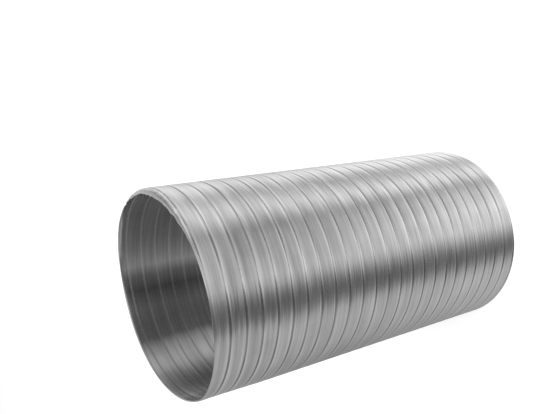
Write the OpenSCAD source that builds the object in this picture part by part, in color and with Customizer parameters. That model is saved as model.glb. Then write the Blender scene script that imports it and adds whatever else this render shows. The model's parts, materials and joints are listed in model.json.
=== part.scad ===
// Flexible aluminium duct, pushed together to its short length.
// One strip of thin aluminium runs round a left-handed helix. Each turn laps
// over the next one down, with the edges folded into each other, and the seam
// shows outside as a narrow groove with a rolled edge along its lower side.
// The mouths are sawn off: the lower one square, as the duct stands on it, and
// the upper one a little off square, higher towards +X. The seam climbs as it
// goes round, so it runs out of each mouth at a slant.

/* [Duct] */
// Inside diameter, which slides over a spigot
bore_d = 150; // [80:1:315]
// Length from mouth to mouth along the middle
duct_l = 288; // [60:1:400]
// How many degrees the upper mouth is sawn off square
mouth_slant = 3; // [0:0.5:6]

/* [Strip] */
// Thickness of the aluminium strip
strip_t = 0.15; // [0.1:0.01:0.3]
// Height of the folded wall, from the bore to the outside of a turn
wall_t = 0.9; // [0.6:0.05:1.5]
// Distance along the duct from one turn of the seam to the next
seam_pitch = 12; // [8:0.5:24]

/* [Seam] */
// Width of the groove across its mouth
groove_w = 2; // [1:0.1:3]
// Height of the rolled edge above the wall
roll_h = 0.12; // [0:0.01:0.4]
// Width of the lap of two turns, from the groove to the crease where it ends
lap_w = 5.4; // [3:0.1:6]
// Depth of the crease at the end of the lap
crease_depth = 0.1; // [0:0.01:0.2]
// Angle round the duct at which the groove reaches the height of duct_l
seam_angle = -67.5; // [-180:0.5:180]

/* [Hidden] */
bore_r = bore_d / 2;
outer_r = bore_r + wall_t;
turns = ceil(duct_l / seam_pitch);

// Section of one turn from groove to groove, going down the duct.
// Each point is [distance below the groove's middle, height above the bore].
turn_section = [
    [0, strip_t],
    [groove_w / 2, wall_t + roll_h],
    [lap_w, wall_t - crease_depth],
    [seam_pitch - groove_w / 2, wall_t]
];
section_n = len(turn_section);
next_groove = [seam_pitch, strip_t];

// Flat facets round the duct: as many as the budget of triangles allows
triangle_budget = 10400;
sides_min = 48;
sides_max = 120;
sides = max(sides_min, min(sides_max, floor(triangle_budget / (2 * section_n * turns))));
// The middle of each facet lies at the true radius, so the wall is nowhere too thin
facet_stretch = 1 / cos(180 / sides);

// Rise of the slanted cut at the outside of the duct
cut_rise = (outer_r + roll_h) * facet_stretch * tan(mouth_slant);
// Whole turns of helix that start above the highest point of the cut
lead_turns = 1 + ceil(cut_rise / seam_pitch);
// A point this close to a mouth is moved onto it, so no facet is a sliver
mouth_snap = 0.05;
// How far the bore's cutter passes each mouth
cut_over = 1;
// Sides of the bore where it is drawn as a polygon: many, as the wall is thin
bore_sides = 256;

// Height of the outer surface above the bore, this far below a groove
function height_at(drop) =
    let(points = concat(turn_section, [next_groove]),
        d = drop - seam_pitch * floor(drop / seam_pitch),
        i = max([for (k = [0 : section_n - 1]) if (points[k][0] <= d) k]),
        a = points[i],
        b = points[i + 1])
    a[1] + (b[1] - a[1]) * (d - a[0]) / (b[0] - a[0]);

// Point on the outer surface at a column of facets
function wall_point(column, z, height) =
    let(angle = seam_angle + 360 * column / sides,
        r = (bore_r + height) * facet_stretch)
    [r * cos(angle), r * sin(angle), z];

// Height of the slanted saw cut above the lower mouth, this far towards +X
function cut_z(x) = duct_l + x * tan(mouth_slant);

// Points of the two mouths' edges at a column of facets
function lower_edge(column) =
    wall_point(column, 0, height_at(duct_l - seam_pitch * column / sides));
function upper_edge(column) =
    let(near = wall_point(column, 0, wall_t),
        drop = duct_l - seam_pitch * column / sides - cut_z(near[0]),
        edge = wall_point(column, 0, height_at(drop)))
    [edge[0], edge[1], cut_z(edge[0])];

// Point k of the section, step facets along the helix from the seam's angle.
// What passes a mouth is held at its edge, so the helix ends in the saw cuts.
function helix_point(step, k) =
    let(column = (step + lead_turns * sides) % sides,
        z = duct_l - seam_pitch * step / sides - turn_section[k][0],
        edge = upper_edge(column))
    z > edge[2] - mouth_snap ? edge
    : z < mouth_snap ? lower_edge(column)
    : wall_point(column, z, turn_section[k][1]);

// Closed helical body out to the strip's outer surface, still without the bore
module helical_body() {
    first_step = -lead_turns * sides;
    last_step = turns * sides;
    points = [
        for (step = [first_step : last_step + sides])
            for (k = [0 : section_n - 1])
                helix_point(step, k)
    ];
    upper_middle = len(points);
    lower_middle = upper_middle + 1;
    function at(step, k) =
        k < section_n ? (step - first_step) * section_n + k
        : at(step + sides, 0);
    side_faces = [
        for (step = [first_step : last_step - 1])
            for (k = [0 : section_n - 1])
                for (face = [
                    [at(step, k), at(step + 1, k), at(step + 1, k + 1)],
                    [at(step, k), at(step + 1, k + 1), at(step, k + 1)]
                ]) face
    ];
    upper_faces = [
        for (step = [first_step : first_step + sides - 1])
            [upper_middle, at(step + 1, 0), at(step, 0)]
    ];
    lower_faces = [
        for (step = [last_step : last_step + sides - 1])
            [lower_middle, at(step, 0), at(step + 1, 0)]
    ];
    polyhedron(
        points = concat(points, [[0, 0, duct_l], [0, 0, 0]]),
        faces = concat(side_faces, upper_faces, lower_faces),
        convexity = 4
    );
}

module duct_wall() {
    color("silver")
    difference() {
        helical_body();
        translate([0, 0, -cut_over])
        cylinder(h = duct_l + cut_rise + 2 * cut_over, r = bore_r, $fn = bore_sides);
    }
}

duct_wall();
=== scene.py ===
"""Looks of a flexible aluminium duct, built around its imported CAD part.

The wall is one strip of aluminium wound round a left-handed helix. A Geometry
Nodes tree makes it, with the seam's groove and rolled edge outside, the thin
seam line inside and a thin lip at each mouth. The duct has been handled: its
upper lip is curled, dented and torn, and its turns lean and lie unevenly.
"""

import json
import math

import bpy
from mathutils import Matrix, Vector


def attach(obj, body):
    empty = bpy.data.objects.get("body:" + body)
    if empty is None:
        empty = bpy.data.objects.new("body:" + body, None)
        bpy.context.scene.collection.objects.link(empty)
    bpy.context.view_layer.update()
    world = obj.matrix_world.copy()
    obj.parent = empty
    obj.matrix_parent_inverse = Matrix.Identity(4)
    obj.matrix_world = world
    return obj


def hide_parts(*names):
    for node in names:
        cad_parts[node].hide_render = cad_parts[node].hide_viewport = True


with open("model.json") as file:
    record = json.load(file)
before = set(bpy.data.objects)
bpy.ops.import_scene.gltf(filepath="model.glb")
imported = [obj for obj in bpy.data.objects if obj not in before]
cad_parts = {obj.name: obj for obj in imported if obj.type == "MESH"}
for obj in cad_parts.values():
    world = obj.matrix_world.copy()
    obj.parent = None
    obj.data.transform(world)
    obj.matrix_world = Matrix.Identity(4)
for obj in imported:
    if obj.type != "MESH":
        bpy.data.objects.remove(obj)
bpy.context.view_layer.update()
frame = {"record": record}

bl_info = {
    "name": "Flexible Aluminium Duct",
    "version": (1, 0, 0),
    "blender": (4, 5, 0),
    "location": "3D View > Sidebar > Duct",
    "description": "Makes a wound aluminium duct and a plain studio to show it in",
    "category": "Object",
}

MM = 0.001
MOUNTS = {mount["name"]: mount for mount in frame["record"]["mounts"]}
BORE_RADIUS = MOUNTS["upper_mouth"]["dims"]["r_mm"] * MM
DUCT_LENGTH = MOUNTS["upper_mouth"]["pos_m"][2]
SEAM_PITCH = 12 * MM
WALL_HEIGHT = 1.02 * MM
INNER_SEAM_DEPTH = 0.16 * MM

# Section of one turn from groove to groove, going down the duct:
# (share of the pitch, share of the full height above the bore)
OUTSIDE_SECTION = [
    (0.0, 0.3),
    (0.03, 0.32),
    (0.058, 0.86),
    (0.1, 0.93),
    (0.2, 0.957),
    (0.32, 0.972),
    (0.5, 0.98),
    (0.68, 0.97),
    (0.8, 0.953),
    (0.89, 0.93),
    (0.942, 0.87),
    (0.97, 0.32),
    (1.0, 0.3),
]
# Edges of the rows of faces in a turn, as shares of the pitch
OUTSIDE_EDGES = [place for place, _ in OUTSIDE_SECTION]
# Inside, a turn is plain but for the narrow line where the fold ends:
# (share of the pitch, share of the seam line's depth)
INSIDE_SECTION = [
    (0.0, 1.0),
    (0.035, 0.7),
    (0.07, 0.1),
    (0.12, 0.0),
    (0.5, 0.12),
    (0.88, 0.25),
    (0.965, 0.35),
    (1.0, 1.0),
]
INSIDE_EDGES = [0.0, 0.035, 0.075, 0.4, 0.8, 0.96, 1.0]


class DuctSizes(bpy.types.PropertyGroup):
    """Sizes of the wound strip."""

    bore_radius: bpy.props.FloatProperty(
        name="Bore Radius",
        description="Inside radius of the duct",
        default=BORE_RADIUS,
        unit="LENGTH",
    )
    length: bpy.props.FloatProperty(
        name="Length",
        description="Length from mouth to mouth along the middle",
        default=DUCT_LENGTH,
        unit="LENGTH",
    )
    pitch: bpy.props.FloatProperty(
        name="Seam Pitch",
        description="Distance along the duct from one turn of the seam to the next",
        default=SEAM_PITCH,
        unit="LENGTH",
    )
    full_height: bpy.props.FloatProperty(
        name="Wall Height",
        description="Height of the folded wall above the bore, at the rolled edge",
        default=WALL_HEIGHT,
        unit="LENGTH",
    )
    inner_seam: bpy.props.FloatProperty(
        name="Inner Seam Depth",
        description="Depth of the seam line on the inside of the wall",
        default=INNER_SEAM_DEPTH,
        unit="LENGTH",
    )
    mouth_slant: bpy.props.FloatProperty(
        name="Mouth Slant",
        description="How far the upper mouth is sawn off square",
        default=math.radians(3),
        subtype="ANGLE",
    )
    seam_angle: bpy.props.FloatProperty(
        name="Seam Angle",
        description="Angle round the duct at which the groove reaches the full length",
        default=math.radians(-67.5),
        subtype="ANGLE",
    )
    lip_length: bpy.props.FloatProperty(
        name="Lip Length",
        description="How far from a mouth its edge is bent",
        default=4.4 * MM,
        unit="LENGTH",
    )
    lip_curl: bpy.props.FloatProperty(
        name="Lip Curl",
        description="How far the upper mouth's edge curls in where it curls most",
        default=3.4 * MM,
        unit="LENGTH",
    )
    lip_flare: bpy.props.FloatProperty(
        name="Lip Flare",
        description="Length over which the inside thins to the edge",
        default=1.1 * MM,
        unit="LENGTH",
    )
    lip_round: bpy.props.FloatProperty(
        name="Lip Rounding",
        description="Length over which the outside rounds off to the edge",
        default=0.4 * MM,
        unit="LENGTH",
    )
    dent_depth: bpy.props.FloatProperty(
        name="Dent Depth",
        description="How far the upper mouth is pressed in where it is pressed most",
        default=2.1 * MM,
        unit="LENGTH",
    )
    dent_reach: bpy.props.FloatProperty(
        name="Dent Reach",
        description="How far down the duct the dent reaches",
        default=60 * MM,
        unit="LENGTH",
    )
    turn_lean: bpy.props.FloatProperty(
        name="Turn Lean",
        description="How far the first turns lean towards +X at the upper mouth",
        default=2.2 * MM,
        unit="LENGTH",
    )
    lean_reach: bpy.props.FloatProperty(
        name="Lean Reach",
        description="How far down the duct the turns lean",
        default=76 * MM,
        unit="LENGTH",
    )
    uneven_pull: bpy.props.FloatProperty(
        name="Uneven Pull",
        description="How far the turns lie from their even places where they are furthest off",
        default=1.2 * MM,
        unit="LENGTH",
    )
    columns: bpy.props.IntProperty(
        name="Columns",
        description="Columns of faces round the duct",
        default=192,
        min=48,
    )


class FinishLooks(bpy.types.PropertyGroup):
    """Colour and grain of the aluminium."""

    metal: bpy.props.FloatVectorProperty(
        name="Aluminium",
        description="Colour of the clean strip",
        subtype="COLOR",
        size=3,
        default=(0.8, 0.8, 0.8),
    )
    # Darkest colour of the groove and of part of the line inside: dirt, and painted shade of the
    # recess
    seam: bpy.props.FloatVectorProperty(
        name="Seam Dirt and Shade",
        description="Colour of the metal deep in the seam",
        subtype="COLOR",
        size=3,
        default=(0.46, 0.46, 0.465),
    )
    streaks: bpy.props.FloatProperty(
        name="Streaks",
        description="How far the surface turns from streak to streak",
        default=0.17,
        min=0.0,
    )
    roughness: bpy.props.FloatProperty(
        name="Roughness",
        description="Roughness of the rolled surface",
        default=0.25,
        min=0.0,
        max=1.0,
    )


class StudioSettings(bpy.types.PropertyGroup):
    """Light, floor and camera."""

    lens: bpy.props.FloatProperty(
        name="Focal Length",
        description="Focal length of the camera in millimetres",
        default=41.82,
        unit="CAMERA",
    )
    floor_size: bpy.props.FloatProperty(
        name="Floor Size",
        description="Width of the floor",
        default=12.0,
        unit="LENGTH",
    )
    ambient: bpy.props.FloatProperty(
        name="Ambient Light",
        description="Strength of the even light from all round",
        default=0.6,
        min=0.0,
    )


# Places of the colour sockets on a Mix node, where several share a name
COLOUR_A = 6
COLOUR_B = 7
MIXED_COLOUR = 2


class NodeMaker:
    """Adds nodes to one tree and links them."""

    def __init__(self, tree):
        self.tree = tree

    def add(self, kind, **settings):
        node = self.tree.nodes.new(kind)
        for name, value in settings.items():
            setattr(node, name, value)
        return node

    def feed(self, socket, value):
        """Links a socket to the input, or sets the input to a plain value."""
        if isinstance(value, bpy.types.NodeSocket):
            self.tree.links.new(value, socket)
        else:
            socket.default_value = value

    def math(self, operation, *values):
        node = self.add("ShaderNodeMath", operation=operation)
        for socket, value in zip(node.inputs, values):
            self.feed(socket, value)
        return node.outputs[0]

    def vector(self, x, y, z):
        node = self.add("ShaderNodeCombineXYZ")
        for socket, value in zip(node.inputs, (x, y, z)):
            self.feed(socket, value)
        return node.outputs[0]

    def split(self, vector):
        node = self.add("ShaderNodeSeparateXYZ")
        self.feed(node.inputs[0], vector)
        return node.outputs[0], node.outputs[1], node.outputs[2]

    def ramp(self, value, low, high, kind="SMOOTHSTEP", between=(0.0, 1.0)):
        """Goes from one value at the low end to another at the high end, which may be below."""
        node = self.add("ShaderNodeMapRange", interpolation_type=kind)
        self.feed(node.inputs["Value"], value)
        self.feed(node.inputs["From Min"], low)
        self.feed(node.inputs["From Max"], high)
        self.feed(node.inputs["To Min"], between[0])
        self.feed(node.inputs["To Max"], between[1])
        return node.outputs["Result"]

    def noise(self, place, scale=1.0, detail=1.0, roughness=0.5):
        node = self.add("ShaderNodeTexNoise")
        self.feed(node.inputs["Vector"], place)
        self.feed(node.inputs["Scale"], scale)
        self.feed(node.inputs["Detail"], detail)
        self.feed(node.inputs["Roughness"], roughness)
        return node.outputs["Fac"]

    def mix(self, factor, first, second, blend="MIX"):
        """The first colour, with a share of the second mixed in."""
        node = self.add("ShaderNodeMix", data_type="RGBA", blend_type=blend)
        self.feed(node.inputs["Factor"], factor)
        self.feed(node.inputs[COLOUR_A], first)
        self.feed(node.inputs[COLOUR_B], second)
        return node.outputs[MIXED_COLOUR]

    def curve(self, value, points, handles="VECTOR"):
        """A float curve through the points, straight between them unless told otherwise."""
        node = self.add("ShaderNodeFloatCurve")
        self.feed(node.inputs["Value"], value)
        node.mapping.use_clip = False
        curve = node.mapping.curves[0]
        while len(curve.points) < len(points):
            curve.points.new(0.5, 0.5)
        for point, (place, height) in zip(curve.points, points):
            point.location = (place, height)
            point.handle_type = handles
        node.mapping.update()
        return node.outputs[0]


def new_tree(name, kind, inputs, outputs):
    """A node group with named inputs (name, socket type, default) and outputs."""
    tree = bpy.data.node_groups.new(name, kind)
    for label, socket_type, default in inputs:
        socket = tree.interface.new_socket(label, in_out="INPUT", socket_type=socket_type)
        if default is not None:
            socket.default_value = default
    for label, socket_type in outputs:
        tree.interface.new_socket(label, in_out="OUTPUT", socket_type=socket_type)
    return tree


def section_tree():
    """Height of the wall above the bore, outside and inside, at an angle and an even height."""
    tree = new_tree(
        "duct_section",
        "GeometryNodeTree",
        [
            ("Angle", "NodeSocketFloat", 0.0),
            ("Even Height", "NodeSocketFloat", 0.0),
            ("Length", "NodeSocketFloat", DUCT_LENGTH),
            ("Pitch", "NodeSocketFloat", SEAM_PITCH),
            ("Wall Height", "NodeSocketFloat", WALL_HEIGHT),
            ("Inner Seam Depth", "NodeSocketFloat", INNER_SEAM_DEPTH),
        ],
        [("Outside", "NodeSocketFloat"), ("Inside", "NodeSocketFloat")],
    )
    make = NodeMaker(tree)
    given = make.add("NodeGroupInput").outputs
    result = make.add("NodeGroupOutput").inputs
    turned = make.math("DIVIDE", given["Angle"], math.tau)
    below = make.math("SUBTRACT", given["Length"], given["Even Height"])
    below = make.math("DIVIDE", below, given["Pitch"])
    phase = make.math("FRACT", make.math("SUBTRACT", below, turned))
    outside = make.curve(phase, OUTSIDE_SECTION)
    inside = make.curve(phase, INSIDE_SECTION)
    make.feed(result["Outside"], make.math("MULTIPLY", outside, given["Wall Height"]))
    make.feed(result["Inside"], make.math("MULTIPLY", inside, given["Inner Seam Depth"]))
    return tree


WALL_INPUTS = [
    ("Bore Radius", "NodeSocketFloat", "bore_radius"),
    ("Length", "NodeSocketFloat", "length"),
    ("Pitch", "NodeSocketFloat", "pitch"),
    ("Wall Height", "NodeSocketFloat", "full_height"),
    ("Inner Seam Depth", "NodeSocketFloat", "inner_seam"),
    ("Mouth Slant", "NodeSocketFloat", "mouth_slant"),
    ("Seam Angle", "NodeSocketFloat", "seam_angle"),
    ("Lip Length", "NodeSocketFloat", "lip_length"),
    ("Lip Curl", "NodeSocketFloat", "lip_curl"),
    ("Lip Flare", "NodeSocketFloat", "lip_flare"),
    ("Lip Rounding", "NodeSocketFloat", "lip_round"),
    ("Dent Depth", "NodeSocketFloat", "dent_depth"),
    ("Dent Reach", "NodeSocketFloat", "dent_reach"),
    ("Turn Lean", "NodeSocketFloat", "turn_lean"),
    ("Lean Reach", "NodeSocketFloat", "lean_reach"),
    ("Uneven Pull", "NodeSocketFloat", "uneven_pull"),
    ("Columns", "NodeSocketInt", "columns"),
]
# Attributes for the material: which faces are inside, and where a point would be along
# the duct if its turns lay evenly
INSIDE_MARK = "inside"
EVEN_HEIGHT = "even_height"
# Turns of helix that start above the highest point of the upper mouth
LEAD_TURNS = 2
# Rows of faces on each side of a lip, closer together towards its edge
LIP_ROWS = 9
LIP_CROWDING = 1.7
# Height of a lip's thin edge above the bore, as a share of the wall's full height, and
# at most this share of its height at that place, which is low where the groove runs out
TIP_SHARE = 0.6
GROOVE_TIP_SHARE = 0.7
# The seam's groove is pressed flat this close to the upper mouth: (gone, full depth)
GROOVE_FADE = (1.2 * MM, 2.2 * MM)
# Height of the wall where the groove is pressed flat, as a share of the wall's height
FLAT_SHARE = 0.88
# How much the upper mouth's edge curls in, round the duct, and bends out where it is
# below 0: (share of a full turn from -X through -Y, +X and +Y, share of the curl)
CURL_ROUND_MOUTH = [
    (0.0, 0.0),
    (0.32, 0.0),
    (0.35, 0.2),
    (0.37, 0.45),
    (0.39, 0.7),
    (0.42, 0.84),
    (0.48, 1.0),
    (0.51, 0.95),
    (0.545, 0.75),
    (0.58, 0.4),
    (0.62, -0.15),
    (0.66, -0.42),
    (0.7, -0.35),
    (0.75, 0.0),
    (1.0, 0.0),
]
# How much the upper mouth is pressed in, round the duct, in the same way
DENT_ROUND_MOUTH = [
    (0.0, 1.0),
    (0.03, 0.88),
    (0.065, 0.45),
    (0.11, 0.0),
    (0.5, 0.0),
    (0.75, 0.0),
    (0.83, -0.4),
    (0.88, -0.1),
    (0.92, 0.3),
    (0.95, 0.62),
    (0.98, 0.9),
    (1.0, 1.0),
]
# How unevenly the turns are pulled out: (share of the length down from the upper mouth,
# share of the uneven pull that they lie lower)
PULL_ALONG_DUCT = [
    (0.0, 0.75),
    (0.13, 0.62),
    (0.21, 0.38),
    (0.29, 0.0),
    (0.34, 0.0),
    (0.41, 0.4),
    (0.5, 0.7),
    (0.58, 0.92),
    (0.64, 1.0),
    (0.71, 0.95),
    (0.79, 0.4),
    (0.83, 0.0),
    (0.9, -0.4),
    (1.0, 0.0),
]
# Small tears in the upper mouth's edge: (azimuth, half width in degrees, depth)
TEARS = [
    (30, 1.7, 1.2 * MM),
    (16, 1.6, 1.1 * MM),
    (-40, 3.0, 0.35 * MM),
]
# How far below the edge a tear still pulls the metal down
TEAR_REACH = 3 * MM
# How uneven the curled edge and its fold are, and how many bumps they have in a radian
EDGE_WAVES = 0.9
FOLD_WAVES = 2.5
EDGE_BUMPS = 15.0
# How much tighter than the lip's length the fold is where it has no wave
FOLD_TIGHTNESS = 1.1
# Where the edge is curled it also has a thin rolled hem
HEM_HEIGHT = 0.4 * MM
HEM_WIDTH = 1.3 * MM
# Small dents in the curled edge: how deep, how many in a metre, how much of the noise
# stays level, and how close to the edge they are full
CRUMPLE_DEPTH = 1.6 * MM
CRUMPLES = 260
CRUMPLE_LEVEL = 0.38
CRUMPLE_REACH = 2 * MM
# The first columns stand closer together, where the edge is curled and torn:
# (share of the columns, share of the turn)
CLOSE_COLUMNS = (0.45, 0.29)
# A point this close to a lip is moved onto it, so no face is a sliver
MOUTH_SNAP = 0.12 * MM
MERGE_DISTANCE = 0.01 * MM
SHARP_ANGLE = math.radians(50)


class WallBuilder:
    """Makes the nodes of the wall's tree. Each surface is a grid laid round the duct."""

    def __init__(self, tree, section):
        self.make = NodeMaker(tree)
        self.given = self.make.add("NodeGroupInput").outputs
        self.section = section
        place = self.make.add("GeometryNodeInputPosition").outputs[0]
        self.column_place, self.row_place, _ = self.make.split(place)

    def grid(self, rows):
        """A grid to be laid round the duct, with each point's angle from the seam and its row."""
        make = self.make
        columns = self.given["Columns"]
        node = make.add("GeometryNodeMeshGrid")
        make.feed(node.inputs["Size X"], columns)
        make.feed(node.inputs["Size Y"], rows)
        make.feed(node.inputs["Vertices X"], make.math("ADD", columns, 1))
        make.feed(node.inputs["Vertices Y"], make.math("ADD", rows, 1))
        half_columns = make.math("MULTIPLY", columns, 0.5)
        half_rows = make.math("MULTIPLY", rows, 0.5)
        column = make.math("ROUND", make.math("ADD", self.column_place, half_columns))
        row = make.math("ROUND", make.math("ADD", self.row_place, half_rows))
        share = make.math("DIVIDE", column, columns)
        close, covered = CLOSE_COLUMNS
        steep = (1 - covered) / (1 - close) - covered / close
        past = make.math("MAXIMUM", make.math("SUBTRACT", share, close), 0)
        turned = make.math("MULTIPLY", share, covered / close)
        turned = make.math("MULTIPLY_ADD", past, steep, turned)
        angle = make.math("MULTIPLY", turned, math.tau)
        return node.outputs["Mesh"], angle, row

    def heights(self, angle, even_height):
        """Outside and inside heights of the wall above the bore."""
        make = self.make
        node = make.add("GeometryNodeGroup", node_tree=self.section)
        make.feed(node.inputs["Angle"], angle)
        make.feed(node.inputs["Even Height"], even_height)
        for name in ("Length", "Pitch", "Wall Height", "Inner Seam Depth"):
            make.feed(node.inputs[name], self.given[name])
        return node.outputs["Outside"], node.outputs["Inside"]

    def direction(self, angle):
        """Cosine and sine of the true angle round the duct."""
        make = self.make
        true_angle = make.math("ADD", angle, self.given["Seam Angle"])
        return make.math("COSINE", true_angle), make.math("SINE", true_angle)

    def cut_height(self, cosine, radius):
        """Height of the slanted saw cut of the upper mouth."""
        make = self.make
        rise = make.math("MULTIPLY", make.math("TANGENT", self.given["Mouth Slant"]), radius)
        return make.math("MULTIPLY_ADD", rise, cosine, self.given["Length"])

    def round_mouth(self, cosine, sine, plan):
        """A plan's value at a direction round the duct."""
        turned = self.make.math("DIVIDE", self.make.math("ARCTAN2", sine, cosine), math.tau)
        return self.make.curve(self.make.math("ADD", turned, 0.5), plan, "AUTO_CLAMPED")

    def lowered(self, cosine, even_height):
        """How far below its even place a turn lies, because of the lean and the uneven pull."""
        make = self.make
        given = self.given
        along = make.math("SUBTRACT", given["Length"], even_height)
        pulled = make.curve(make.math("DIVIDE", along, given["Length"]), PULL_ALONG_DUCT)
        lean = make.math("MULTIPLY", make.ramp(along, given["Lean Reach"], 0.0), given["Turn Lean"])
        pulled = make.math("MULTIPLY", pulled, given["Uneven Pull"])
        return make.math("SUBTRACT", pulled, make.math("MULTIPLY", lean, cosine))

    def even_place(self, cosine, height):
        """The even place of the part of a turn that lies at this height."""
        make = self.make
        guess = make.math("ADD", height, self.lowered(cosine, height))
        return make.math("ADD", height, self.lowered(cosine, guess))

    def placed(self, mesh, angle, radius, height, even_height, inside):
        """The grid, marked for the material and moved to its place, with the dent pressed in."""
        make = self.make
        given = self.given
        mesh = self.marked(self.marked(mesh, EVEN_HEIGHT, even_height), INSIDE_MARK, inside)
        cosine, sine = self.direction(angle)
        dent = self.round_mouth(cosine, sine, DENT_ROUND_MOUTH)
        dent = make.math("MULTIPLY", dent, given["Dent Depth"])
        gap = make.math("SUBTRACT", self.cut_height(cosine, given["Bore Radius"]), height)
        near = make.ramp(gap, given["Dent Reach"], 0.0)
        radius = make.math("SUBTRACT", radius, make.math("MULTIPLY", dent, near))
        node = make.add("GeometryNodeSetPosition")
        make.feed(node.inputs["Geometry"], mesh)
        x = make.math("MULTIPLY", cosine, radius)
        y = make.math("MULTIPLY", sine, radius)
        make.feed(node.inputs["Position"], make.vector(x, y, height))
        return node.outputs["Geometry"]

    def flipped(self, mesh):
        node = self.make.add("GeometryNodeFlipFaces")
        self.make.feed(node.inputs["Mesh"], mesh)
        return node.outputs["Mesh"]

    def marked(self, mesh, name, value):
        """The mesh with a value kept at each of its points."""
        node = self.make.add("GeometryNodeStoreNamedAttribute", data_type="FLOAT", domain="POINT")
        self.make.feed(node.inputs["Geometry"], mesh)
        self.make.feed(node.inputs["Name"], name)
        self.make.feed(node.inputs["Value"], value)
        return node.outputs["Geometry"]

    def wound_surface(self, row_edges, is_inside):
        """The wall's outside or inside between the lips, with its rows along the helix."""
        make = self.make
        given = self.given
        lip = given["Lip Length"]
        rows_per_turn = len(row_edges) - 1
        spacing = [(edge / rows_per_turn, place) for edge, place in enumerate(row_edges)]
        turns = make.math("CEIL", make.math("DIVIDE", given["Length"], given["Pitch"]))
        rows = make.math("MULTIPLY", make.math("ADD", turns, LEAD_TURNS), rows_per_turn)
        mesh, angle, row = self.grid(rows)
        turn = make.math("FLOOR", make.math("DIVIDE", row, rows_per_turn))
        step = make.math("FRACT", make.math("DIVIDE", row, rows_per_turn))
        turned = make.math("ADD", turn, make.curve(step, spacing))
        turned = make.math("ADD", turned, make.math("DIVIDE", angle, math.tau))
        turned = make.math("SUBTRACT", turned, LEAD_TURNS)
        below = make.math("MULTIPLY", turned, given["Pitch"])
        even = make.math("SUBTRACT", given["Length"], below)
        cosine, _ = self.direction(angle)
        height = make.math("SUBTRACT", even, self.lowered(cosine, even))
        top = make.math("SUBTRACT", self.cut_height(cosine, given["Bore Radius"]), lip)
        over_top = make.math("GREATER_THAN", height, make.math("SUBTRACT", top, MOUTH_SNAP))
        under_end = make.math("LESS_THAN", height, make.math("ADD", lip, MOUTH_SNAP))
        height = self.choose(under_end, self.choose(over_top, height, top), lip)
        even = self.choose(over_top, even, self.even_place(cosine, top))
        even = self.choose(under_end, even, self.even_place(cosine, lip))
        outside, inside = self.heights(angle, even)
        radius = make.math("ADD", given["Bore Radius"], inside if is_inside else outside)
        return self.placed(mesh, angle, radius, height, even, float(is_inside))

    def choose(self, test, otherwise, chosen):
        """One value where the test is 1, and another elsewhere."""
        node = self.make.add("GeometryNodeSwitch", input_type="FLOAT")
        self.make.feed(node.inputs["Switch"], test)
        self.make.feed(node.inputs["False"], otherwise)
        self.make.feed(node.inputs["True"], chosen)
        return node.outputs["Output"]

    def quarter_round(self, distance, length):
        """A quarter ellipse, which falls steeply from 1 at no distance to 0 at the length."""
        make = self.make
        near = make.math("SUBTRACT", 1, make.math("DIVIDE", distance, length))
        near = make.math("MAXIMUM", near, 0)
        side = make.math("SQRT", make.math("SUBTRACT", 1, make.math("POWER", near, 2)))
        return make.math("SUBTRACT", 1, side)

    def torn(self, cosine, sine, gap):
        """How far the small tears lower the upper mouth's edge."""
        make = self.make
        total = 0
        for azimuth, half_width, depth in TEARS:
            toward = math.radians(azimuth)
            across = make.math("MULTIPLY", sine, math.cos(toward))
            across = make.math("MULTIPLY_ADD", cosine, -math.sin(toward), across)
            away = make.math("DIVIDE", make.math("ABSOLUTE", across), math.radians(half_width))
            deep = make.math("MAXIMUM", make.math("SUBTRACT", 1, away), 0)
            facing = make.math("GREATER_THAN", make.math("MULTIPLY", cosine, math.cos(toward)), 0)
            total = make.math("MULTIPLY_ADD", make.math("MULTIPLY", deep, facing), depth, total)
        return make.math("MULTIPLY", total, make.ramp(gap, TEAR_REACH, 0.0))

    def crumpled(self, cosine, sine, gap, curl):
        """How far small dents press the curled edge in."""
        make = self.make
        around = make.math("MULTIPLY", self.given["Bore Radius"], CRUMPLES)
        x = make.math("MULTIPLY", cosine, around)
        y = make.math("MULTIPLY", sine, around)
        noise = make.noise(make.vector(x, y, make.math("MULTIPLY", gap, CRUMPLES)))
        deep = make.math("MAXIMUM", make.math("SUBTRACT", noise, CRUMPLE_LEVEL), 0)
        near = make.ramp(gap, self.given["Lip Length"], CRUMPLE_REACH)
        bent = make.math("DIVIDE", make.math("MAXIMUM", curl, 0), self.given["Lip Curl"])
        share = make.math("MULTIPLY", make.math("MULTIPLY", deep, near), bent)
        return make.math("MULTIPLY", share, CRUMPLE_DEPTH)

    def curled(self, cosine, sine, gap, radius, is_inside):
        """The upper lip's radius with its curl, its thin hem and its small dents."""
        make = self.make
        share = self.round_mouth(cosine, sine, CURL_ROUND_MOUTH)
        waves = make.noise(make.vector(cosine, sine, 0), scale=EDGE_BUMPS)
        waves = make.math("SUBTRACT", waves, 0.5)
        hem = make.math("MULTIPLY", make.ramp(gap, 0.0, HEM_WIDTH, "LINEAR"), math.pi)
        hem = make.math("MULTIPLY", make.math("SINE", hem), HEM_HEIGHT)
        hem = make.math("MULTIPLY", hem, make.math("MAXIMUM", share, 0))
        hem = make.math("MULTIPLY", hem, self.choose(is_inside, 1.0, 0.0))
        tighter = make.math("MULTIPLY_ADD", waves, FOLD_WAVES, FOLD_TIGHTNESS)
        tighter = make.math("MAXIMUM", tighter, 1)
        bend = self.quarter_round(make.math("MULTIPLY", gap, tighter), self.given["Lip Length"])
        uneven = make.math("MULTIPLY_ADD", waves, EDGE_WAVES, 1)
        curl = make.math("MULTIPLY", make.math("MULTIPLY", share, uneven), self.given["Lip Curl"])
        radius = make.math("ADD", radius, hem)
        radius = make.math("SUBTRACT", radius, make.math("MULTIPLY", curl, bend))
        return make.math("SUBTRACT", radius, self.crumpled(cosine, sine, gap, curl))

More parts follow.
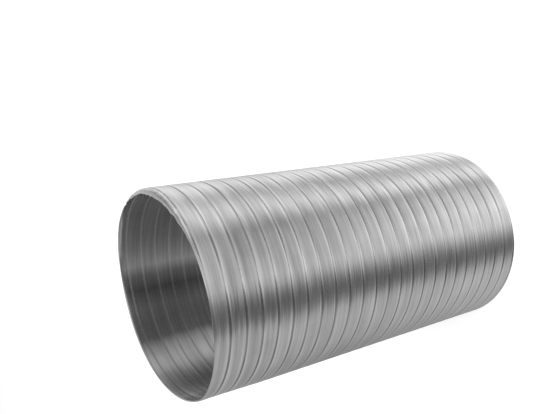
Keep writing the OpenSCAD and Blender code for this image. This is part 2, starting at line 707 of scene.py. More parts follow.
    def lip(self, at_top):
        """The edge of one mouth, from the outside of the wall round to the inside."""
        make = self.make
        given = self.given
        mesh, angle, row = self.grid(make.math("MULTIPLY", LIP_ROWS, 2))
        share = make.math("SUBTRACT", make.math("DIVIDE", row, LIP_ROWS), 1)
        is_inside = make.math("GREATER_THAN", share, 0)
        crowded = make.math("POWER", make.math("ABSOLUTE", share), LIP_CROWDING)
        gap = make.math("MULTIPLY", crowded, given["Lip Length"])
        cosine, sine = self.direction(angle)
        height = gap
        if at_top:
            cut = self.cut_height(cosine, given["Bore Radius"])
            height = make.math("SUBTRACT", cut, gap)
        even = self.even_place(cosine, height)
        outside, inside = self.heights(angle, even)
        if at_top:
            flat = make.math("MULTIPLY", given["Wall Height"], FLAT_SHARE)
            kept = make.ramp(gap, *GROOVE_FADE)
            outside = make.math("MULTIPLY_ADD", make.math("SUBTRACT", outside, flat), kept, flat)
        tip = make.math("MULTIPLY", given["Wall Height"], TIP_SHARE)
        tip = make.math("MINIMUM", tip, make.math("MULTIPLY", outside, GROOVE_TIP_SHARE))
        rounding = self.quarter_round(gap, given["Lip Rounding"])
        outer = make.math("MULTIPLY_ADD", make.math("SUBTRACT", tip, outside), rounding, outside)
        flare = self.quarter_round(gap, given["Lip Flare"])
        inner = make.math("MULTIPLY_ADD", make.math("SUBTRACT", tip, inside), flare, inside)
        radius = make.math("ADD", given["Bore Radius"], self.choose(is_inside, outer, inner))
        if at_top:
            radius = self.curled(cosine, sine, gap, radius, is_inside)
            height = make.math("SUBTRACT", height, self.torn(cosine, sine, gap))
        return self.placed(mesh, angle, radius, height, even, is_inside)


def wall_tree(sizes):
    """The Geometry Nodes tree of the whole wall."""
    inputs = [(name, kind, getattr(sizes, prop)) for name, kind, prop in WALL_INPUTS]
    inputs.append(("Material", "NodeSocketMaterial", None))
    tree = new_tree("duct_wall", "GeometryNodeTree", inputs, [("Geometry", "NodeSocketGeometry")])
    tree.is_modifier = True
    wall = WallBuilder(tree, section_tree())
    make = wall.make
    given = wall.given
    outside = wall.wound_surface(OUTSIDE_EDGES, is_inside=False)
    inside = wall.wound_surface(INSIDE_EDGES, is_inside=True)
    join = make.add("GeometryNodeJoinGeometry")
    for mesh in (
        wall.flipped(outside),
        inside,
        wall.flipped(wall.lip(at_top=False)),
        wall.lip(at_top=True),
    ):
        make.tree.links.new(mesh, join.inputs["Geometry"])
    merge = make.add("GeometryNodeMergeByDistance")
    make.feed(merge.inputs["Geometry"], join.outputs["Geometry"])
    make.feed(merge.inputs["Distance"], MERGE_DISTANCE)
    edge_angle = make.add("GeometryNodeInputMeshEdgeAngle").outputs["Unsigned Angle"]
    faces = make.add("GeometryNodeSetShadeSmooth", domain="FACE")
    make.feed(faces.inputs["Geometry"], merge.outputs["Geometry"])
    smooth = make.add("GeometryNodeSetShadeSmooth", domain="EDGE")
    make.feed(smooth.inputs["Geometry"], faces.outputs["Geometry"])
    make.feed(smooth.inputs["Shade Smooth"], make.math("LESS_THAN", edge_angle, SHARP_ANGLE))
    realize = make.add("GeometryNodeRealizeInstances")
    make.feed(realize.inputs["Geometry"], smooth.outputs["Geometry"])
    paint = make.add("GeometryNodeSetMaterial")
    make.feed(paint.inputs["Geometry"], realize.outputs["Geometry"])
    make.feed(paint.inputs["Material"], given["Material"])
    result = make.add("NodeGroupOutput").inputs
    make.feed(result["Geometry"], paint.outputs["Geometry"])
    return tree


def new_material(name):
    """A material with no nodes yet, and what adds them."""
    material = bpy.data.materials.new(name)
    material.use_nodes = True
    material.node_tree.nodes.clear()
    return material, NodeMaker(material.node_tree)


def mesh_from_tree(name, tree, values):
    """Runs a tree on an empty mesh and keeps its result as a plain mesh object."""
    maker = bpy.data.objects.new(name + "_maker", bpy.data.meshes.new(name + "_maker"))
    bpy.context.scene.collection.objects.link(maker)
    modifier = maker.modifiers.new("nodes", "NODES")
    modifier.node_group = tree
    for item in tree.interface.items_tree:
        if item.in_out == "INPUT" and item.name in values:
            modifier[item.identifier] = values[item.name]
    graph = bpy.context.evaluated_depsgraph_get()
    mesh = bpy.data.meshes.new_from_object(maker.evaluated_get(graph), depsgraph=graph)
    mesh.name = name
    maker.modifiers.remove(modifier)
    bpy.data.objects.remove(maker)
    piece = bpy.data.objects.new(name, mesh)
    bpy.context.scene.collection.objects.link(piece)
    return piece


# How many times fewer the broad lines are than the fine ones
BROAD_LINES = 0.22


def rolling_lines_group():
    """Fine lines that rolling leaves round the duct, and the soft patches of handling."""
    tree = new_tree(
        "rolling_lines",
        "ShaderNodeTree",
        [
            ("Place", "NodeSocketVector", None),
            ("Lines per Metre", "NodeSocketFloat", 1500.0),
            ("Stretch per Metre", "NodeSocketFloat", 11.0),
            ("Patches per Metre", "NodeSocketFloat", 40.0),
        ],
        [
            ("Fine", "NodeSocketFloat"),
            ("Broad", "NodeSocketFloat"),
            ("Patches", "NodeSocketFloat"),
        ],
    )
    make = NodeMaker(tree)
    given = make.add("NodeGroupInput").outputs
    result = make.add("NodeGroupOutput").inputs
    x, y, z = make.split(given["Place"])
    stretch = given["Stretch per Metre"]
    around_x = make.math("MULTIPLY", x, stretch)
    around_y = make.math("MULTIPLY", y, stretch)
    for name, share in (("Fine", 1.0), ("Broad", BROAD_LINES)):
        along = make.math("MULTIPLY", z, make.math("MULTIPLY", given["Lines per Metre"], share))
        noise = make.noise(make.vector(around_x, around_y, along), detail=3.0, roughness=0.6)
        make.feed(result[name], noise)
    patches = make.noise(given["Place"], scale=given["Patches per Metre"], detail=2.0)
    make.feed(result["Patches"], patches)
    return tree


# Half widths of the groove, its shoulders and the line inside where their masks are full
GROOVE_CORE = 0.3 * MM
SHOULDER_CORE = 1 * MM
LINE_CORE = 0.1 * MM


def away_from_seam(make, turned, pitch):
    """Distance along the duct to the nearest turn of the seam."""
    phase = make.math("FRACT", turned)
    nearest = make.math("MINIMUM", phase, make.math("SUBTRACT", 1, phase))
    return make.math("MULTIPLY", nearest, pitch)


def seam_mask_group():
    """Masks of the seam: its groove and the shoulders beside it outside, and its line inside."""
    tree = new_tree(
        "seam_mask",
        "ShaderNodeTree",
        [
            ("Place", "NodeSocketVector", None),
            ("Even Height", "NodeSocketFloat", 0.0),
            ("Length", "NodeSocketFloat", DUCT_LENGTH),
            ("Pitch", "NodeSocketFloat", SEAM_PITCH),
            ("Inside", "NodeSocketFloat", 0.0),
            ("Seam Angle", "NodeSocketFloat", 0.0),
            ("Mouth Slant", "NodeSocketFloat", 0.0),
            ("Groove Centre", "NodeSocketFloat", 0.1 * MM),
            ("Groove Width", "NodeSocketFloat", 2.4 * MM),
            ("Shoulder Width", "NodeSocketFloat", 8 * MM),
            ("Line Width", "NodeSocketFloat", 2.6 * MM),
        ],
        [
            ("Groove", "NodeSocketFloat"),
            ("Shoulder", "NodeSocketFloat"),
            ("Line", "NodeSocketFloat"),
        ],
    )
    make = NodeMaker(tree)
    given = make.add("NodeGroupInput").outputs
    result = make.add("NodeGroupOutput").inputs
    x, y, z = make.split(given["Place"])
    angle = make.math("SUBTRACT", make.math("ARCTAN2", y, x), given["Seam Angle"])
    below = make.math("SUBTRACT", given["Length"], given["Even Height"])
    below = make.math("DIVIDE", below, given["Pitch"])
    turned = make.math("SUBTRACT", below, make.math("DIVIDE", angle, math.tau))
    offset = make.math("DIVIDE", given["Groove Centre"], given["Pitch"])
    away = away_from_seam(make, make.math("SUBTRACT", turned, offset), given["Pitch"])
    outside = make.math("LESS_THAN", given["Inside"], 0.5)
    rise = make.math("MULTIPLY", make.math("TANGENT", given["Mouth Slant"]), x)
    gap = make.math("SUBTRACT", make.math("ADD", given["Length"], rise), z)
    open_seam = make.ramp(gap, *GROOVE_FADE)
    groove = make.ramp(away, make.math("MULTIPLY", given["Groove Width"], 0.5), GROOVE_CORE)
    outside = make.math("MULTIPLY", outside, open_seam)
    make.feed(result["Groove"], make.math("MULTIPLY", groove, outside))
    shoulder = make.ramp(away, make.math("MULTIPLY", given["Shoulder Width"], 0.5), SHOULDER_CORE)
    make.feed(result["Shoulder"], make.math("MULTIPLY", shoulder, outside))
    away = away_from_seam(make, turned, given["Pitch"])
    line = make.ramp(away, make.math("MULTIPLY", given["Line Width"], 0.5), LINE_CORE)
    make.feed(result["Line"], make.math("MULTIPLY", line, given["Inside"]))
    return tree


# Streaks of the brushed normal: (changes per metre round the duct, along it, share)
STREAKS = [
    (14.0, 700.0, 1.25),
    (12.0, 220.0, 0.35),
]


def brushed_normal_group():
    """Turns the surface a little, streak by streak, so that reflections have ragged edges."""
    tree = new_tree(
        "brushed_normal",
        "ShaderNodeTree",
        [
            ("Place", "NodeSocketVector", None),
            ("Normal", "NodeSocketVector", None),
            ("Turn", "NodeSocketFloat", 0.1),
        ],
        [("Normal", "NodeSocketVector")],
    )
    make = NodeMaker(tree)
    given = make.add("NodeGroupInput").outputs
    result = make.add("NodeGroupOutput").inputs
    x, y, z = make.split(given["Place"])
    turn = 0
    for around, along, share in STREAKS:
        stretched = make.vector(
            make.math("MULTIPLY", x, around),
            make.math("MULTIPLY", y, around),
            make.math("MULTIPLY", z, along),
        )
        centred = make.math("SUBTRACT", make.noise(stretched, detail=1.5), 0.5)
        turn = make.math("MULTIPLY_ADD", centred, share, turn)
    turn = make.math("MULTIPLY", turn, given["Turn"])
    turn = make.math("DIVIDE", turn, BORE_RADIUS)
    across = make.vector(make.math("MULTIPLY", y, -1), x, 0)
    scaled = make.add("ShaderNodeVectorMath", operation="SCALE")
    make.feed(scaled.inputs[0], across)
    make.feed(scaled.inputs["Scale"], turn)
    total = make.add("ShaderNodeVectorMath", operation="ADD")
    make.feed(total.inputs[0], given["Normal"])
    make.feed(total.inputs[1], scaled.outputs[0])
    unit = make.add("ShaderNodeVectorMath", operation="NORMALIZE")
    make.feed(unit.inputs[0], total.outputs[0])
    make.feed(result["Normal"], unit.outputs[0])
    return tree


# How dark the groove is, with dirt and painted shade of the recess, set place by place: (share of
# the way across the duct from -X to +X, darkness)
DIRT_AND_SHADE_ACROSS_DUCT = [
    (0.0, 0.95),
    (0.2, 0.95),
    (0.28, 0.6),
    (0.36, 0.4),
    (0.41, 0.7),
    (0.45, 1.0),
    (0.51, 1.0),
    (0.55, 0.7),
    (0.59, 0.05),
    (0.63, 0.05),
    (0.68, 0.5),
    (0.74, 0.8),
    (0.78, 0.7),
    (0.82, 0.12),
    (0.86, 0.1),
    (0.92, 0.15),
    (0.97, 0.3),
    (1.0, 0.35),
]
# The same from patch to patch, and times what towards the upper mouth and towards the lower mouth
DIRT_AND_SHADE_OF_PATCHES = (0.75, 1.15)
NEAR_MOUTH_GROOVE_DARKNESS = 1.4
LOW_GROOVE_DARKNESS = 0.75
# Towards the upper mouth the metal is darker, its groove darker and the shoulders' painted
# highlight stronger: (from this height, fully from this one)
NEAR_MOUTH_HEIGHT = (200 * MM, 250 * MM)
# The grooves get lighter towards the lower mouth: (lightest, no lighter than elsewhere)
LOW_GROOVE_HEIGHT = (50 * MM, 120 * MM)
# The seam's line inside has a painted highlight in one place and painted shade in another: (not at
# all at this X, most at this one)
LINE_HIGHLIGHT_PLACE = (-22 * MM, 4 * MM)
LINE_HIGHLIGHT_SHARE = 0.6
LINE_HIGHLIGHT_COLOUR = (0.98, 0.98, 0.98, 1.0)
LINE_SHADE_PLACE = (-42 * MM, -56 * MM)
# How much the broad rolling lines count beside the fine ones, in colour and in relief
BROAD_SHADE = 1.2
BROAD_RELIEF = 0.6
# Stretches of the noise that hold the lines, the patches and the patches of the groove's dirt and
# painted shade
LINE_NOISE = (0.8, 1.4)
PATCH_NOISE = (0.35, 0.65)
DIRT_AND_SHADE_NOISE = (0.4, 0.6)
# Lightness of the rolling lines and the patches, as shares of the metal's colour
LINE_SHADES = (0.81, 1.15)
PATCH_SHADES = (0.93, 1.05)
# Share of it that is left away from the seam, and what is taken off towards the upper mouth
PLAIN_SHADE = 0.98
NEAR_MOUTH_LOSS = 0.06
# The groove takes this share out of the shoulders' mask. Beside it they get a painted highlight,
# and a stronger one towards the upper mouth: not past the first X, fully below the second
GROOVE_SHARE = 0.9
SHOULDER_HIGHLIGHT_GAIN = 0.1
EXTRA_HIGHLIGHT_GAIN = 0.18
EXTRA_HIGHLIGHT_PLACE = (66 * MM, 56 * MM)
# Lightest share of the metal's colour that the painted highlight may reach
BRIGHTEST = 1.22
# What the lines, the patches and the line inside add to the roughness, what is taken off
# it to keep its mean, and how much less metallic the line inside is
LINE_ROUGHNESS = 0.1
PATCH_ROUGHNESS = 0.06
INNER_LINE_ROUGHNESS = 0.12
ROUGHNESS_OFFSET = -0.08
INNER_LINE_METAL_LOSS = 0.08
# Relief of the rolling lines
LINE_RELIEF = 0.02 * MM
LINE_RELIEF_STRENGTH = 0.25
# Satin metal rolled round the duct spreads its reflections along it
SPREAD = 0.75
SPREAD_TURN = 0.25


def seam_masks(make, sizes, place):
    """The outputs of the seam's masks: Groove, Shoulder and Line."""
    seam = make.add("ShaderNodeGroup", node_tree=seam_mask_group())
    make.feed(seam.inputs["Place"], place)
    make.feed(seam.inputs["Length"], sizes.length)
    make.feed(seam.inputs["Pitch"], sizes.pitch)
    make.feed(seam.inputs["Seam Angle"], sizes.seam_angle)
    make.feed(seam.inputs["Mouth Slant"], sizes.mouth_slant)
    for name, mark in (("Inside", INSIDE_MARK), ("Even Height", EVEN_HEIGHT)):
        kept = make.add("ShaderNodeAttribute", attribute_name=mark)
        make.feed(seam.inputs[name], kept.outputs["Fac"])
    return seam.outputs


def strip_colour(make, metal, lines, seam, place):
    """Colour of the strip, with its lines, a painted highlight on its shoulders and on part of the
    line inside, darker towards the upper mouth.
    """
    x, _, z = make.split(place)
    shade = make.math("MULTIPLY_ADD", lines["Broad"], BROAD_SHADE, lines["Fine"])
    shade = make.ramp(shade, *LINE_NOISE, "LINEAR", LINE_SHADES)
    mottle = make.ramp(lines["Patches"], *PATCH_NOISE, "LINEAR", PATCH_SHADES)
    # Towards the upper mouth the metal is darker and the shoulders' painted highlight stronger
    handled = make.ramp(z, *NEAR_MOUTH_HEIGHT)
    extra_highlight = make.math("MULTIPLY", make.ramp(x, *EXTRA_HIGHLIGHT_PLACE, between=(0.0, EXTRA_HIGHLIGHT_GAIN)), handled)
    # Painted highlight on the shoulders beside the groove
    beside = make.math("MULTIPLY_ADD", seam["Groove"], -GROOVE_SHARE, seam["Shoulder"])
    gain = make.math("ADD", extra_highlight, SHOULDER_HIGHLIGHT_GAIN)
    shoulder_highlight = make.math("MULTIPLY", make.math("MAXIMUM", beside, 0), gain)
    plain = make.math("MULTIPLY_ADD", handled, -NEAR_MOUTH_LOSS, PLAIN_SHADE)
    shoulder_highlight = make.math("ADD", shoulder_highlight, plain)
    shade = make.math("MULTIPLY", make.math("MULTIPLY", shade, mottle), shoulder_highlight)
    shade = make.math("MINIMUM", shade, BRIGHTEST)
    streaked = make.mix(1.0, (*metal, 1.0), shade, "MULTIPLY")
    # Painted highlight on part of the seam's line inside
    line_highlight = make.ramp(x, *LINE_HIGHLIGHT_PLACE, between=(0.0, LINE_HIGHLIGHT_SHARE))
    return make.mix(make.math("MULTIPLY", seam["Line"], line_highlight), streaked, LINE_HIGHLIGHT_COLOUR)


def seam_dirt_and_shade(make, sizes, lines, seam, place):
    """How far the metal is darkened: unevenly in the groove with dirt and painted shade, and with
    painted shade on a part of the line inside.
    """
    x, _, z = make.split(place)
    # Groove darkened with dirt and painted shade: uneven by patch, darker towards the upper mouth,
    # lighter towards the lower one, and set across the duct
    darkening = make.ramp(lines["Patches"], *DIRT_AND_SHADE_NOISE, "LINEAR", DIRT_AND_SHADE_OF_PATCHES)
    darkening = make.math("MULTIPLY", darkening, make.ramp(z, *NEAR_MOUTH_HEIGHT, between=(1.0, NEAR_MOUTH_GROOVE_DARKNESS)))
    darkening = make.math("MULTIPLY", darkening, make.ramp(z, *LOW_GROOVE_HEIGHT, between=(LOW_GROOVE_DARKNESS, 1.0)))
    across = make.math("MULTIPLY_ADD", x, 0.5 / (sizes.bore_radius + sizes.full_height), 0.5)
    darkening = make.math("MULTIPLY", darkening, make.curve(across, DIRT_AND_SHADE_ACROSS_DUCT))
    # Painted shade on part of the seam's line inside
    line_shade = make.math("MULTIPLY", seam["Line"], make.ramp(x, *LINE_SHADE_PLACE))
    return make.math("MINIMUM", make.math("MULTIPLY_ADD", seam["Groove"], darkening, line_shade), 1)


def rolled_normal(make, streaks, lines, place):
    """The surface's normal, turned from streak to streak, with the relief of the lines."""
    brushed = make.add("ShaderNodeGroup", node_tree=brushed_normal_group())
    make.feed(brushed.inputs["Place"], place)
    make.feed(brushed.inputs["Normal"], make.add("ShaderNodeNewGeometry").outputs["Normal"])
    make.feed(brushed.inputs["Turn"], streaks)
    bump = make.add("ShaderNodeBump")
    make.feed(bump.inputs["Strength"], LINE_RELIEF_STRENGTH)
    make.feed(bump.inputs["Distance"], LINE_RELIEF)
    relief = make.math("MULTIPLY_ADD", lines["Broad"], BROAD_RELIEF, lines["Fine"])
    make.feed(bump.inputs["Height"], relief)
    make.feed(bump.inputs["Normal"], brushed.outputs["Normal"])
    return bump.outputs["Normal"]


def aluminium_material(sizes, looks):
    """Satin aluminium strip with rolling lines, darker metal in the seams from dirt and painted
    shade, and painted highlights beside them and on the line inside.
    """
    material, make = new_material("satin_aluminium")
    place = make.add("ShaderNodeTexCoord").outputs["Object"]
    rolling = make.add("ShaderNodeGroup", node_tree=rolling_lines_group())
    make.feed(rolling.inputs["Place"], place)
    lines = rolling.outputs
    seam = seam_masks(make, sizes, place)
    clean = strip_colour(make, looks.metal, lines, seam, place)
    darkening = seam_dirt_and_shade(make, sizes, lines, seam, place)
    rough = looks.roughness + ROUGHNESS_OFFSET
    rough = make.math("MULTIPLY_ADD", lines["Fine"], LINE_ROUGHNESS, rough)
    rough = make.math("MULTIPLY_ADD", lines["Patches"], PATCH_ROUGHNESS, rough)
    rough = make.math("MULTIPLY_ADD", seam["Line"], INNER_LINE_ROUGHNESS, rough)
    metallic = make.math("MULTIPLY_ADD", seam["Line"], -INNER_LINE_METAL_LOSS, 1.0)

    shader = make.add("ShaderNodeBsdfPrincipled")
    # The groove and part of the line inside are darkened: dirt and painted shade
    make.feed(shader.inputs["Base Color"], make.mix(darkening, clean, (*looks.seam, 1.0)))
    make.feed(shader.inputs["Metallic"], metallic)
    make.feed(shader.inputs["Roughness"], rough)
    make.feed(shader.inputs["Normal"], rolled_normal(make, looks.streaks, lines, place))
    make.feed(shader.inputs["Anisotropic"], SPREAD)
    make.feed(shader.inputs["Anisotropic Rotation"], SPREAD_TURN)
    output = make.add("ShaderNodeOutputMaterial")
    make.feed(output.inputs["Surface"], shader.outputs["BSDF"])
    return material


class OBJECT_OT_duct_wall(bpy.types.Operator):
    """Makes the wound wall of the duct in place of its plain CAD solid"""

    bl_idname = "object.duct_wall"
    bl_label = "Duct Wall"

    def execute(self, context):
        sizes = context.scene.duct_sizes
        looks = context.scene.duct_finish
        values = {name: getattr(sizes, prop) for name, _, prop in WALL_INPUTS}
        values["Material"] = aluminium_material(sizes, looks)
        piece = mesh_from_tree("wound_wall", wall_tree(sizes), values)
        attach(piece, "root")
        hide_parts("duct_wall")
        return {"FINISHED"}


# The camera's place and aim in the duct's frame, and the direction that is up in the picture
CAMERA_PLACE = Vector((0.0838, -0.4033, 0.4485))
CAMERA_AIM = Vector((0.0477, 0.0247, 0.1765))
PICTURE_UP = Vector((0.9913, 0.0, -0.1317))
SENSOR_WIDTH = 36.0
FLOOR_COLOUR = (0.8, 0.8, 0.8, 1.0)
# With the light that falls on the floor this makes white, and a little less in the shadow
FLOOR_GLOW = 0.5

# Soft paper surround, seen only in the metal. Each stop says how light it is at one
# azimuth in degrees: (azimuth, high up, level with the duct, below it, far below it)
SURROUND_PLAN = [
    (-265, 0.5, 0.8, 0.45, 0.65),
    (-245, 0.3, 0.5, 0.3, 0.42),
    (-224, 0.3, 0.45, 0.26, 0.4),
    (-205, 0.3, 0.45, 0.31, 0.45),
    (-175, 0.3, 0.5, 0.4, 0.56),
    (-145, 0.3, 0.5, 0.43, 0.57),
    (-135, 0.25, 0.45, 0.38, 0.46),
    (-125, 0.1, 0.2, 0.16, 0.18),
    (-118, 0.1, 0.2, 0.1, 0.15),
    (-108, 0.1, 0.2, 0.08, 0.2),
    (-98, 0.4, 0.3, 0.2, 0.42),
    (-92, 0.7, 0.5, 0.34, 0.62),
    (-84, 0.9, 0.6, 0.4, 0.85),
    (-70, 0.6, 0.65, 0.28, 0.95),
    (-55, 0.6, 0.65, 0.15, 1.15),
    (-42, 0.5, 0.6, 0.2, 0.95),
    (-30, 0.4, 0.5, 0.16, 0.9),
    (-18, 0.4, 0.7, 0.41, 0.36),
    (-6, 0.4, 0.9, 0.72, 1.15),
    (4, 0.4, 1.0, 0.66, 1.15),
    (13, 0.35, 0.9, 0.5, 0.8),
    (22, 0.3, 0.8, 0.36, 0.4),
    (32, 0.3, 0.9, 0.6, 0.66),
    (44, 0.35, 1.0, 0.9, 1.3),
    (58, 0.4, 0.9, 0.92, 1.36),
    (72, 0.5, 0.8, 0.6, 0.9),
    (85, 0.6, 0.8, 0.42, 0.6),
]
# Its rings from the top down: (radius, height, which lightness of the plan, times what)
SURROUND_RINGS = [
    (0.05, 4.6, 0, 1.6),
    (2.5, 4.2, 0, 1.3),
    (2.5, 2.6, 0, 1.0),
    (2.5, 1.2, 0, 1.0),
    (2.5, -0.4, 1, 1.0),
    (2.5, -1.35, 2, 1.0),
    (2.5, -2.8, 3, 1.0),
    (2.5, -5.0, 3, 1.0),
    (0.05, -6.0, 3, 0.3),
]

# Grey paper sleeve that only the inside of the metal shows:
# (azimuth, lightness at the upper mouth, lightness further in)
SLEEVE_PLAN = [
    (-170, 0.65, 0.33),
    (-120, 0.2, 0.18),
    (-60, 0.2, 0.18),
    (0, 0.2, 0.2),
    (28, 0.17, 0.16),
    (38, 0.125, 0.115),
    (48, 0.11, 0.095),
    (58, 0.12, 0.1),
    (67, 0.13, 0.115),
    (74, 0.18, 0.16),
    (82, 0.25, 0.235),
    (88, 0.115, 0.105),
    (96, 0.052, 0.05),
    (106, 0.115, 0.095),
    (116, 0.088, 0.09),
    (124, 0.09, 0.1),
    (130, 0.28, 0.3),
    (137, 0.43, 0.43),
    (143, 0.41, 0.4),
    (149, 0.28, 0.18),
    (155, 0.22, 0.09),
    (162, 0.21, 0.1),
    (169, 0.31, 0.2),
    (176, 0.45, 0.29),
]
# How far below its top edge the sleeve has reached its lightness further in
SLEEVE_FADE = 25 * MM
SLEEVE_RADIUS = 69 * MM
# How far its top edge lies below the upper mouth, and its lower end below the floor
SLEEVE_TOP_GAP = 2 * MM
SLEEVE_BELOW_FLOOR = 20 * MM
# Faces round each paper
PAPER_STEPS = 180


def add_camera(studio):
    """The camera that sees the duct as the photo does, rolled so that it lies across."""
    forward = (CAMERA_AIM - CAMERA_PLACE).normalized()
    right = forward.cross(PICTURE_UP).normalized()
    up = right.cross(forward)
    data = bpy.data.cameras.new("camera")
    data.lens = studio.lens
    data.sensor_fit = "HORIZONTAL"
    data.sensor_width = SENSOR_WIDTH
    data.clip_start = 0.01
    camera = bpy.data.objects.new("camera", data)
    turn = Matrix((right, up, -forward)).transposed()
    camera.matrix_world = Matrix.Translation(CAMERA_PLACE) @ turn.to_4x4()
    bpy.context.scene.collection.objects.link(camera)
    bpy.context.scene.camera = camera


def seen_directly(make):
    """1 for the rays that show the background: from the camera, in metal and through glass."""
    path = make.add("ShaderNodeLightPath").outputs
    seen = make.math("MAXIMUM", path["Is Camera Ray"], path["Is Glossy Ray"])
    return make.math("MAXIMUM", seen, path["Is Transmission Ray"])


def set_world(studio):
    """A world that is white where it is seen, and lights the rest at a plain level."""
    world = bpy.data.worlds.new("studio")
    bpy.context.scene.world = world
    world.use_nodes = True
    world.node_tree.nodes.clear()
    make = NodeMaker(world.node_tree)
    lit = make.add("ShaderNodeBackground")
    make.feed(lit.inputs["Strength"], studio.ambient)
    white = make.add("ShaderNodeBackground")
    for background in (lit, white):
        make.feed(background.inputs["Color"], (1.0, 1.0, 1.0, 1.0))
    mix = make.add("ShaderNodeMixShader")
    make.feed(mix.inputs[0], seen_directly(make))
    make.feed(mix.inputs[1], lit.outputs[0])
    make.feed(mix.inputs[2], white.outputs[0])
    output = make.add("ShaderNodeOutputWorld")
    make.feed(output.inputs["Surface"], mix.outputs[0])


def floor_material():
    """A matt floor that glows as well where it is seen, so it is white but for the shadow."""
    material, make = new_material("white_floor")
    matt = make.add("ShaderNodeBsdfDiffuse")
    make.feed(matt.inputs["Color"], FLOOR_COLOUR)
    glow = make.add("ShaderNodeEmission")
    make.feed(glow.inputs["Strength"], make.math("MULTIPLY", seen_directly(make), FLOOR_GLOW))
    both = make.add("ShaderNodeAddShader")
    make.feed(both.inputs[0], glow.outputs[0])
    make.feed(both.inputs[1], matt.outputs[0])
    output = make.add("ShaderNodeOutputMaterial")
    make.feed(output.inputs["Surface"], both.outputs[0])
    return material


def add_floor(studio):
    """The white floor that the duct stands on, which the metal doesn't show."""
    half = studio.floor_size / 2
    corners = [(-half, -half, 0), (half, -half, 0), (half, half, 0), (-half, half, 0)]
    mesh = bpy.data.meshes.new("floor")
    mesh.from_pydata(corners, [], [(0, 1, 2, 3)])
    mesh.materials.append(floor_material())
    floor = bpy.data.objects.new("floor", mesh)
    bpy.context.scene.collection.objects.link(floor)
    floor.visible_glossy = False


def paper_material(name):
    """Glows as light as the mesh's own lightness says, and isn't searched for as a lamp."""
    material, make = new_material(name)
    glow = make.add("ShaderNodeEmission")
    lightness = make.add("ShaderNodeAttribute", attribute_name="lightness")
    make.feed(glow.inputs["Strength"], lightness.outputs["Fac"])
    output = make.add("ShaderNodeOutputMaterial")
    make.feed(output.inputs["Surface"], glow.outputs[0])
    material.cycles.emission_sampling = "NONE"
    return material


def at_azimuth(plan, azimuth):
    """The plan's values at an azimuth, in a straight line between its stops."""
    stops = sorted(plan)
    stops.append((stops[0][0] + 360, *stops[0][1:]))
    azimuth = (azimuth - stops[0][0]) % 360 + stops[0][0]
    low, high = next(pair for pair in zip(stops, stops[1:]) if azimuth <= pair[1][0])
    share = (azimuth - low[0]) / (high[0] - low[0])
    return [a + (b - a) * share for a, b in zip(low[1:], high[1:])]


def add_paper(name, rings, lightness_at):
    """A ring of paper round the axis: each ring is (radius, height, slope towards +X)."""
    points = []
    lightness = []
    for step in range(PAPER_STEPS):
        azimuth = 360 * step / PAPER_STEPS - 180
        cosine = math.cos(math.radians(azimuth))
        sine = math.sin(math.radians(azimuth))
        for index, (radius, height, slope) in enumerate(rings):
            points.append((radius * cosine, radius * sine, height + slope * radius * cosine))
            lightness.append(lightness_at(azimuth, index))
    count = len(rings)
    faces = []
    for step in range(PAPER_STEPS):
        here = step * count
        there = (step + 1) % PAPER_STEPS * count
        for index in range(count - 1):
            faces.append((here + index, there + index, there + index + 1, here + index + 1))
    mesh = bpy.data.meshes.new(name)
    mesh.from_pydata(points, [], faces)
    attribute = mesh.attributes.new("lightness", "FLOAT", "POINT")
    attribute.data.foreach_set("value", lightness)
    mesh.materials.append(paper_material(name))
    paper = bpy.data.objects.new(name, mesh)
    bpy.context.scene.collection.objects.link(paper)
    paper.visible_camera = False
    paper.visible_diffuse = False
    paper.visible_transmission = False
    paper.visible_shadow = False


def add_surround():
    """The tall soft surround that gives the metal its long light and dark bands."""
    rings = [(radius, height, 0.0) for radius, height, _, _ in SURROUND_RINGS]

    def lightness_at(azimuth, ring):
        _, _, which, share = SURROUND_RINGS[ring]
        return at_azimuth(SURROUND_PLAN, azimuth)[which] * share

    add_paper("surround", rings, lightness_at)


def add_sleeve(sizes):
    """The grey sleeve that the inside of the wall shows."""
    top = sizes.length - SLEEVE_TOP_GAP
    slope = math.tan(sizes.mouth_slant)
    rings = [
        (SLEEVE_RADIUS, top, slope),
        (SLEEVE_RADIUS, top - SLEEVE_FADE, slope),
        (SLEEVE_RADIUS, -SLEEVE_BELOW_FLOOR, 0.0),
    ]
    add_paper("sleeve", rings, lambda azimuth, ring: at_azimuth(SLEEVE_PLAN, azimuth)[ring > 0])


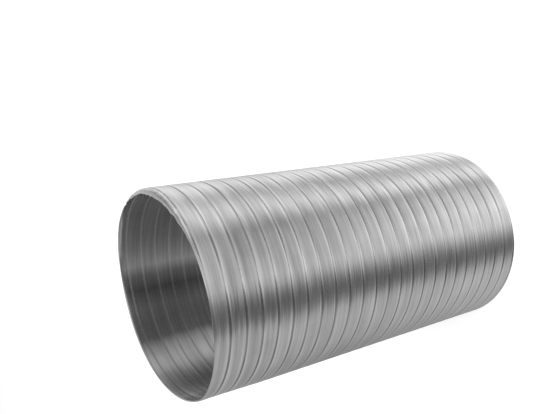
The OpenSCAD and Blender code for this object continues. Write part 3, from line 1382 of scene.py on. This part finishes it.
def add_lamp(name, place, size, power):
    """A round soft lamp that shines towards the duct's foot."""
    data = bpy.data.lights.new(name, "AREA")
    data.shape = "DISK"
    data.size = size
    data.energy = power
    lamp = bpy.data.objects.new(name, data)
    lamp.location = place
    lamp.rotation_euler = Vector(place).to_track_quat("Z", "Y").to_euler()
    lamp.visible_glossy = False
    bpy.context.scene.collection.objects.link(lamp)


class SCENE_OT_duct_studio(bpy.types.Operator):
    """Sets up the camera, the floor, the lamp and the papers that the metal shows"""

    bl_idname = "scene.duct_studio"
    bl_label = "Studio"

    def execute(self, context):
        studio = context.scene.duct_studio
        context.scene.view_settings.view_transform = "Standard"
        add_camera(studio)
        set_world(studio)
        add_floor(studio)
        add_surround()
        add_sleeve(context.scene.duct_sizes)
        add_lamp("overhead_lamp", place=(0.4, -0.5, 1.6), size=1.2, power=14.0)
        return {"FINISHED"}


class VIEW3D_PT_duct(bpy.types.Panel):
    """Lists the duct's pieces and its studio"""

    bl_label = "Aluminium Duct"
    bl_idname = "VIEW3D_PT_duct"
    bl_space_type = "VIEW_3D"
    bl_region_type = "UI"
    bl_category = "Duct"

    def draw(self, context):
        scene = context.scene
        for group in (scene.duct_sizes, scene.duct_finish, scene.duct_studio):
            for name in group.__annotations__:
                self.layout.prop(group, name)
        self.layout.operator(OBJECT_OT_duct_wall.bl_idname)
        self.layout.operator(SCENE_OT_duct_studio.bl_idname)


CLASSES = (
    DuctSizes,
    FinishLooks,
    StudioSettings,
    OBJECT_OT_duct_wall,
    SCENE_OT_duct_studio,
    VIEW3D_PT_duct,
)


def register():
    for cls in CLASSES:
        bpy.utils.register_class(cls)
    bpy.types.Scene.duct_sizes = bpy.props.PointerProperty(type=DuctSizes)
    bpy.types.Scene.duct_finish = bpy.props.PointerProperty(type=FinishLooks)
    bpy.types.Scene.duct_studio = bpy.props.PointerProperty(type=StudioSettings)


def unregister():
    del bpy.types.Scene.duct_studio
    del bpy.types.Scene.duct_finish
    del bpy.types.Scene.duct_sizes
    for cls in reversed(CLASSES):
        bpy.utils.unregister_class(cls)


def main():
    register()
    bpy.ops.scene.duct_studio()
    bpy.ops.object.duct_wall()


if __name__ == "__main__":
    main()
